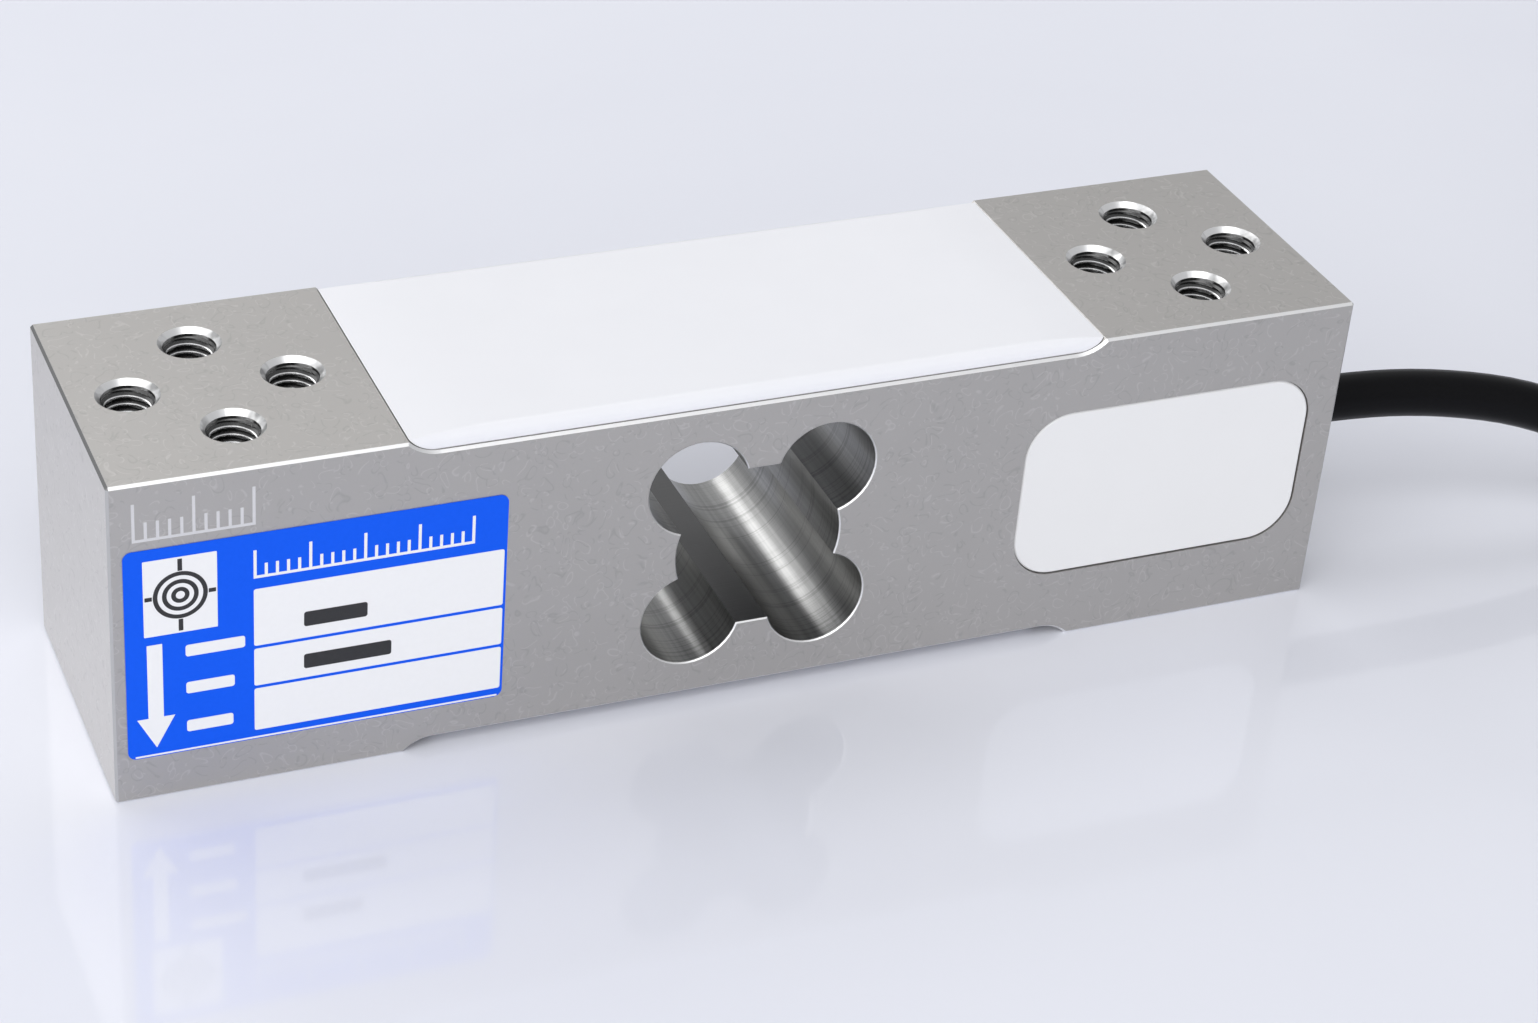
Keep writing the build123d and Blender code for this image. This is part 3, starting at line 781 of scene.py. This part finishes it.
# End chamfers a little lighter as painted light, and the load end's top chamfer dark as painted shade.
surface = beam_finish.blend(end_rim, surface, (0.50, 0.50, 0.50))
surface = beam_finish.blend(load_end_rim_shade, surface, (0.20, 0.20, 0.20))
beam_finish.colour(surface)
gloss = beam_finish.maths("MULTIPLY_ADD", in_window, bored_gloss - satin_gloss, satin_gloss)
gloss = beam_finish.maths("MULTIPLY_ADD", turned, 0.32 - gloss, gloss)
beam_finish.roughness(gloss)
blasted_relief = (grain * 0.5 + pale_curls * 0.6) * (1 - in_window) * (1 - in_hole)
bored_relief = in_window * (drag - rings) * 0.8
relief_depth = 0.008 * MM
beam_finish.bump(blasted_relief + bored_relief, relief_depth, 0.6)
dress("sensor_body", beam_finish)

# %% [markdown]
# ## Threads
#
# Each hole in the top face has an M6 thread, which the solid leaves as a plain hole of the thread's
# outer radius. The missing metal is one ridge that winds up the wall. A screw modifier turns its
# section into a helix, and a cone is cut away from its upper end, a little below the countersink,
# where the tap starts to bite. One ridge is modelled at the origin and copied into all eight holes.

# %% The ridge of one thread
thread_pitch = 1.0 * MM
thread_wall_radius = 3.0 * MM
thread_crest_radius = 2.55 * MM
thread_depth = 12.0 * MM
ridge_root = 0.86 * thread_pitch
ridge_crest = 0.16 * thread_pitch
steps_per_turn = 32
sunk_in_wall = 0.02 * MM

thread_finish = Finish("cut_thread", Metallic=1.0)
thread_place = thread_finish.place()
along_thread = thread_finish.stretched(thread_place, (1.0, 1.0, 6.0))
thread_grain = thread_finish.noise(along_thread, 0.2 * MM, detail=3.0)
thread_x, thread_y = thread_finish.along(thread_place)[:2]
crest_band = 0.09 * MM
from_axis = to_nearest_hole(thread_finish, thread_x, thread_y)
# The thread's crests are painted bright as a highlight, and its flanks near black as shade down in the hole.
crest_highlight = from_axis.below(thread_crest_radius + crest_band, 0.06 * MM)
flank_shade = thread_finish.blend(thread_grain, (0.06, 0.06, 0.06), (0.11, 0.11, 0.11))
thread_finish.colour(thread_finish.blend(crest_highlight, flank_shade, (0.85, 0.85, 0.85)))
thread_finish.roughness(0.20 + 0.14 * thread_grain)
thread_finish.bump(thread_grain, 0.005 * MM, 0.4)

ridge_height = thread_wall_radius + sunk_in_wall - thread_crest_radius
ridge_middle = thread_crest_radius + ridge_height / 2
start_piece()
bpy.ops.mesh.primitive_plane_add(size=1, rotation=(pi / 2, 0, 0), location=(ridge_middle, 0, -thread_depth))
ridge = bpy.context.object
ridge.scale = (ridge_height, ridge_root, 1)
bpy.ops.object.transform_apply(location=True, rotation=True, scale=True)
bpy.ops.object.mode_set(mode="EDIT")
select_where(ridge, lambda co: co.x < ridge_middle)
bpy.ops.transform.resize(
    value=(1, 1, ridge_crest / ridge_root), center_override=(thread_crest_radius, 0, -thread_depth)
)
bpy.ops.mesh.select_all(action="SELECT")
bpy.ops.mesh.delete(type="ONLY_FACE")
bpy.ops.object.mode_set(mode="OBJECT")
helix = ridge.modifiers.new("helix", "SCREW")
helix.axis = "Z"
helix.angle = 2 * pi
helix.screw_offset = thread_pitch
helix.iterations = round(thread_depth / thread_pitch)
helix.steps = steps_per_turn
helix.render_steps = steps_per_turn
bpy.ops.object.modifier_apply(modifier=helix.name)
bpy.ops.object.mode_set(mode="EDIT")
bpy.ops.mesh.select_all(action="SELECT")
bpy.ops.mesh.fill_holes(sides=0)
bpy.ops.mesh.normals_make_consistent(inside=False)
bpy.ops.object.mode_set(mode="OBJECT")
print("one ridge has", len(ridge.data.polygons), "faces")

# %% Countersink the ridge and copy it into the holes
tap_start = 0.35 * MM
drill_play = 1.0 * MM
drill_length = countersink_radius + tap_start + drill_play
start_piece()
bpy.ops.mesh.primitive_cone_add(
    vertices=96,
    radius1=0,
    radius2=drill_length,
    depth=drill_length,
    location=(0, 0, drill_length / 2 - countersink_radius - tap_start),
)
drill = bpy.context.object
pick(ridge)
countersink = ridge.modifiers.new("countersink", "BOOLEAN")
countersink.operation = "DIFFERENCE"
countersink.solver = "EXACT"
countersink.object = drill
bpy.ops.object.modifier_apply(modifier=countersink.name)
bpy.ops.object.shade_smooth_by_angle(angle=radians(35))
bpy.data.objects.remove(drill)

for end_name, end_x in (("load_end", -hole_circle_x), ("cable_end", hole_circle_x)):
    for quarter in range(4):
        angle = quarter * pi / 2
        thread = ridge.copy()
        thread.data = ridge.data.copy()
        hole_x = end_x + hole_circle_radius * cos(angle)
        hole_y = hole_circle_radius * sin(angle)
        thread.data.transform(Matrix.Translation((hole_x, hole_y, beam_height)))
        bpy.context.scene.collection.objects.link(thread)
        settle(thread, f"thread_{end_name}_{quarter + 1}", thread_finish)
bpy.data.objects.remove(ridge)

# %% [markdown]
# ## White covers
#
# The gauges lie under a white cover with soft edges, and the pocket is closed by a flat plate. Both
# are smooth but not glossy: a wide highlight and a hint of unevenness are all that keeps them from
# looking like paper.

# %% Cover finishes
def cover_finish(name, tone, shade, gloss):
    """Smooth moulded plastic: a slow wave in tone and gloss, and a fine unevenness."""
    finish = Finish(name, IOR=1.46)
    cover_place = finish.place()
    wave = finish.noise(cover_place, 9 * MM, detail=2.0)
    fine = finish.noise(cover_place, 0.4 * MM, detail=2.0)
    finish.colour(finish.blend(wave, tone, shade))
    finish.roughness(gloss + 0.08 * wave)
    finish.bump(fine * 0.3 + wave, 0.02 * MM, 0.3)
    return finish


gauge_cover_finish = cover_finish("gauge_cover_white", (0.86, 0.865, 0.90), (0.83, 0.835, 0.87), 0.38)
pocket_cover_finish = cover_finish("pocket_cover_white", (0.82, 0.82, 0.825), (0.80, 0.80, 0.805), 0.45)
dress("top_gauge_cover", gauge_cover_finish)
dress("bottom_gauge_cover", gauge_cover_finish)
dress("pocket_cover", pocket_cover_finish)

# %% [markdown]
# ## Label
#
# The label is a blue film with white fields. What is printed on it is plain: an arrow for the
# direction of the load, a target, a tick scale and bars where words would stand. Ink is a very thin
# layer on the film, so each patch of it is a flat plate with rounded corners and a little thickness.

# %% Label film and inks
label_finish = Finish("label_film", Roughness=0.40, Specular_IOR_Level=0.15)
film_grain = label_finish.noise(label_finish.place(), 0.5 * MM, detail=2.0)
label_finish.colour(label_finish.blend(film_grain, (0.000, 0.096, 0.83), (0.002, 0.108, 0.88)))
label_finish.bump(film_grain, 0.01 * MM, 0.2)
dress("type_label", label_finish)

white_ink = plain_finish("white_ink", (0.85, 0.853, 0.865), (0.88, 0.883, 0.895), 0.40, 0.6 * MM)
dark_ink = plain_finish("dark_ink", (0.012, 0.012, 0.014), (0.020, 0.020, 0.022), 0.38, 0.6 * MM)
grey_ink = plain_finish("grey_ink", (0.60, 0.60, 0.62), (0.66, 0.66, 0.68), 0.45, 0.6 * MM)
ink_thickness = 0.02 * MM
sharp_corner = 0.03 * MM
plain_corner = 0.05 * MM
round_corner = 0.3 * MM
label_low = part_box("type_label")[0]
label_front_y = label_low.y


def ink_patch(left, bottom, width, height, corner, back_y=label_front_y):
    """A flat plate of ink in front of back_y, with its lower left corner at left and bottom."""
    start_piece()
    centre = (left + width / 2, back_y, bottom + height / 2)
    bpy.ops.mesh.primitive_plane_add(size=1, rotation=(pi / 2, 0, 0), location=centre)
    patch = bpy.context.object
    patch.scale = (width, height, 1)
    bpy.ops.object.transform_apply(location=True, rotation=True, scale=True)
    bpy.ops.object.mode_set(mode="EDIT")
    bpy.ops.mesh.select_all(action="SELECT")
    bpy.ops.mesh.bevel(offset=corner, segments=4, affect="VERTICES")
    bpy.ops.mesh.select_all(action="SELECT")
    thicken_ink()
    return patch


def thicken_ink():
    """Pull the selected faces forward by the ink's thickness and close the shape."""
    bpy.ops.mesh.extrude_region_move(TRANSFORM_OT_translate={"value": (0, -ink_thickness, 0)})
    bpy.ops.mesh.select_all(action="SELECT")
    bpy.ops.mesh.normals_make_consistent(inside=False)
    bpy.ops.object.mode_set(mode="OBJECT")


def row_of(patch, pitch, count):
    """Repeat a patch along X with an array modifier."""
    pick(patch)
    repeat = patch.modifiers.new("row", "ARRAY")
    repeat.use_relative_offset = False
    repeat.use_constant_offset = True
    repeat.constant_offset_displace = (pitch, 0, 0)
    repeat.count = count
    bpy.ops.object.modifier_apply(modifier=repeat.name)
    return patch


def tick_scale(left, bottom, width, height, intervals, back_y=label_front_y):
    """A plain ruled scale: a base line with short ticks on it, and a long one at every fifth place."""
    line = 0.34 * MM
    long_every = 5
    pitch = (width - line) / intervals
    middle_z = bottom + height / 2
    short_height = height / 2 - line
    base = ink_patch(left, bottom, width, line, sharp_corner, back_y)
    short = ink_patch(left, bottom + line, line, short_height, sharp_corner, back_y)
    longer = ink_patch(left, middle_z, line, height / 2, sharp_corner, back_y)
    short_row = row_of(short, pitch, intervals + 1)
    long_row = row_of(longer, pitch * long_every, intervals // long_every + 1)
    return joined([base, short_row, long_row])


# %% White print on the label
field_left = label_low.x + 14.2 * MM
field_width = 28.5 * MM
field_corner = 0.25 * MM
field_bottoms_and_heights = ((12.5 * MM, 7.4 * MM), (7.2 * MM, 4.9 * MM), (1.2 * MM, 5.6 * MM))
fields = [
    ink_patch(field_left, label_low.z + bottom, field_width, height, field_corner)
    for bottom, height in field_bottoms_and_heights
]
caption_left = label_low.x + 6.6 * MM
caption_height = 1.5 * MM
caption_bottoms_and_widths = ((12.6 * MM, 6.6 * MM), (7.7 * MM, 5.4 * MM), (2.6 * MM, 5.2 * MM))
captions = [
    ink_patch(caption_left, label_low.z + bottom, width, caption_height, round_corner)
    for bottom, width in caption_bottoms_and_widths
]


def label_patch(left, bottom, width, height, corner):
    """A patch of ink whose place is measured from the label's lower left corner."""
    return ink_patch(label_low.x + left, label_low.z + bottom, width, height, corner)


lower_edge = label_patch(0.8 * MM, 0.12 * MM, 41.6 * MM, 0.22 * MM, plain_corner)
target_ground = label_patch(2.1 * MM, 15.9 * MM, 8.1 * MM, 9.7 * MM, 2 * plain_corner)
header_scale = tick_scale(field_left, label_low.z + 21.3 * MM, 25.0 * MM, 3.6 * MM, 20)

arrow_x = label_low.x + 3.2 * MM
shaft_half = 0.85 * MM
shaft_bottom = label_low.z + 5.2 * MM
shaft_height = 9.6 * MM
arrow_shaft = ink_patch(arrow_x - shaft_half, shaft_bottom, 2 * shaft_half, shaft_height, plain_corner)
head_half = 2.1 * MM
head_height = 4.0 * MM
start_piece()
bpy.ops.mesh.primitive_circle_add(vertices=3, radius=1, fill_type="NGON")
arrow_head = bpy.context.object
arrow_head.scale = (head_half / sin(pi / 3), head_height / 1.5, 1)
bpy.ops.object.transform_apply(location=False, rotation=False, scale=True)
arrow_head.rotation_euler = (-pi / 2, 0, 0)
arrow_head.location = (arrow_x, label_front_y, shaft_bottom - head_height / 3)
bpy.ops.object.transform_apply(location=True, rotation=True, scale=False)
bpy.ops.object.mode_set(mode="EDIT")
bpy.ops.mesh.select_all(action="SELECT")
thicken_ink()
white_print = joined(fields + captions + [lower_edge, target_ground, header_scale, arrow_shaft, arrow_head])
settle(white_print, "label_white_print", white_ink)

# %% Dark print on the label
over_white_y = label_front_y - ink_thickness
bar_left = field_left + 5.6 * MM
bar_height = 1.9 * MM
bars = [
    ink_patch(bar_left, label_low.z + bottom, width, bar_height, round_corner, over_white_y)
    for bottom, width in ((14.0 * MM, 7.2 * MM), (8.4 * MM, 10.0 * MM))
]
target_centre = Vector((label_low.x + 6.15 * MM, over_white_y, label_low.z + 20.75 * MM))


def target_ring(radius, width):
    """A flat ring of ink about the target's centre."""
    start_piece()
    bpy.ops.mesh.primitive_circle_add(
        vertices=64, radius=radius, rotation=(pi / 2, 0, 0), location=target_centre, fill_type="NOTHING"
    )
    ring = bpy.context.object
    bpy.ops.object.transform_apply(location=True, rotation=True, scale=True)
    bpy.ops.object.mode_set(mode="EDIT")
    bpy.ops.mesh.select_all(action="SELECT")
    bpy.ops.mesh.extrude_edges_move()
    shrink = (radius - width) / radius
    bpy.ops.transform.resize(value=(shrink, 1, shrink), center_override=target_centre)
    bpy.ops.mesh.select_all(action="SELECT")
    thicken_ink()
    return ring


mark_line = 0.5 * MM
mark_rings = [target_ring(radius, mark_line) for radius in (3.0 * MM, 2.0 * MM, 1.0 * MM)]
stroke_start = 3.1 * MM
stroke_width = 0.8 * MM
stroke_height = 1.5 * MM
strokes = []
for side in (-1, 1):
    left = target_centre.x + side * (stroke_start + stroke_width / 2) - stroke_width / 2
    bottom = target_centre.z - mark_line / 2
    strokes.append(ink_patch(left, bottom, stroke_width, mark_line, sharp_corner, over_white_y))
    left = target_centre.x - mark_line / 2
    bottom = target_centre.z + side * (stroke_start + stroke_height / 2) - stroke_height / 2
    strokes.append(ink_patch(left, bottom, mark_line, stroke_height, sharp_corner, over_white_y))
dark_print = joined(bars + mark_rings + strokes)
settle(dark_print, "label_dark_print", dark_ink)

# %% Tick scale on the metal
scale_left = beam_low.x + 2.6 * MM
scale_bottom = beam_height - 7.2 * MM
metal_scale = tick_scale(scale_left, scale_bottom, 13.4 * MM, 4.8 * MM, 10, front_y)
settle(metal_scale, "metal_tick_scale", grey_ink)

# %% [markdown]
# ## Finishes of the pieces inside and on the cable
#
# The pieces under the covers don't show, but they keep their own finishes, so that the model can be
# taken apart. The gauge and the terminal strip are one solid each: film below, metal foil above and
# beads of solder on top, so their finish changes with the height over the recess floor.

# %% Gauges and terminal strips
recess_floor = 19.0 * MM


def film_and_foil(name, film_tone, foil_tone, foil_height, solder_height):
    """Film up to one height, foil above it and solder at the top, by the distance from mid height."""
    finish = Finish(name)
    film_place = finish.place()
    above_floor = abs(finish.along(film_place)[2] - mid_z) - recess_floor
    grain_noise = finish.noise(film_place, 0.3 * MM, detail=2.0)
    foil = above_floor.above(foil_height, 0.01 * MM)
    solder = above_floor.above(solder_height, 0.01 * MM)
    film = finish.blend(grain_noise, film_tone, tuple(0.86 * part for part in film_tone))
    metal = finish.blend(solder, foil_tone, (0.60, 0.60, 0.58))
    finish.colour(finish.blend(foil, film, metal))
    finish.feed(finish.shader.inputs["Metallic"], foil)
    finish.roughness(0.42 - 0.14 * foil)
    finish.bump(grain_noise, 0.005 * MM, 0.3)
    return finish


gauge_finish = film_and_foil("gauge_film", (0.60, 0.30, 0.07), (0.55, 0.46, 0.32), 0.11 * MM, 0.18 * MM)
terminal_finish = film_and_foil("terminal_film", (0.55, 0.27, 0.06), (0.72, 0.42, 0.24), 0.16 * MM, 0.2 * MM)
for side_name in ("top", "bottom"):
    dress(f"{side_name}_gauge_load_end", gauge_finish)
    dress(f"{side_name}_gauge_cable_end", gauge_finish)
    dress(f"{side_name}_terminal_strip", terminal_finish)

# %% Wires, board and resistors
jumper_finish = plain_finish(
    "jumper_copper", (0.70, 0.36, 0.20), (0.60, 0.30, 0.16), 0.30, 0.1 * MM, Metallic=1.0
)
lead_finish = plain_finish("lead_insulation", (0.60, 0.57, 0.48), (0.66, 0.63, 0.54), 0.42, 0.2 * MM)
board_finish = plain_finish("board_laminate", (0.012, 0.13, 0.05), (0.02, 0.16, 0.065), 0.32, 0.5 * MM)
for side_name in ("top", "bottom"):
    dress(f"{side_name}_jumper_wires", jumper_finish)
    dress(f"{side_name}_lead_wires", lead_finish)
dress("circuit_board", board_finish)

board_low, board_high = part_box("circuit_board")
resistor_centre_x = (board_low.x + board_high.x) / 2
resistor_finish = Finish("resistor_enamel", Roughness=0.28)
resistor_place = resistor_finish.place()
along_x = abs(resistor_finish.along(resistor_place)[0] - resistor_centre_x)
resistor_half_length = 2.31 * MM
band_pitch = 1.1 * MM
leads = along_x.above(resistor_half_length, 0.02 * MM)
bands = abs((along_x / band_pitch).fraction() - 0.5).below(0.16, 0.05)
enamel = resistor_finish.noise(resistor_place, 0.5 * MM, detail=2.0)
body = resistor_finish.blend(enamel, (0.22, 0.42, 0.58), (0.26, 0.47, 0.63))
body = resistor_finish.blend(bands, body, (0.10, 0.05, 0.03))
resistor_finish.colour(resistor_finish.blend(leads, body, (0.60, 0.60, 0.58)))
resistor_finish.feed(resistor_finish.shader.inputs["Metallic"], leads)
resistor_finish.bump(enamel, 0.01 * MM, 0.3)
for resistor_name in ("span_resistor", "zero_resistor", "temperature_resistor"):
    dress(resistor_name, resistor_finish)

# %% Cores, crimp ring, seal, sleeve and ties
for core_name, finish in core_finishes.items():
    dress("inner_" + core_name, finish)
    dress(core_name, finish)
dress("screen_drain", tinned_finish)
dress("core_tips", tinned_finish)
dress("cable_run", cable_finish)
dress("cable_hank", cable_finish)
crimp_finish = plain_finish(
    "crimp_steel", (0.50, 0.50, 0.50), (0.58, 0.58, 0.58), 0.30, 0.2 * MM, Metallic=1.0
)
seal_finish = plain_finish("seal_rubber", (0.016, 0.016, 0.017), (0.026, 0.026, 0.027), 0.62, 0.3 * MM)
sleeve_finish = plain_finish("sleeve_polymer", (0.018, 0.018, 0.02), (0.028, 0.028, 0.03), 0.44, 0.5 * MM)
tie_finish = plain_finish("tie_nylon", (0.035, 0.035, 0.038), (0.05, 0.05, 0.054), 0.38, 0.6 * MM)
dress("crimp_ring", crimp_finish)
dress("cable_seal", seal_finish)
dress("end_sleeve", sleeve_finish)
dress("hank_tie_front", tie_finish)
dress("hank_tie_back", tie_finish)
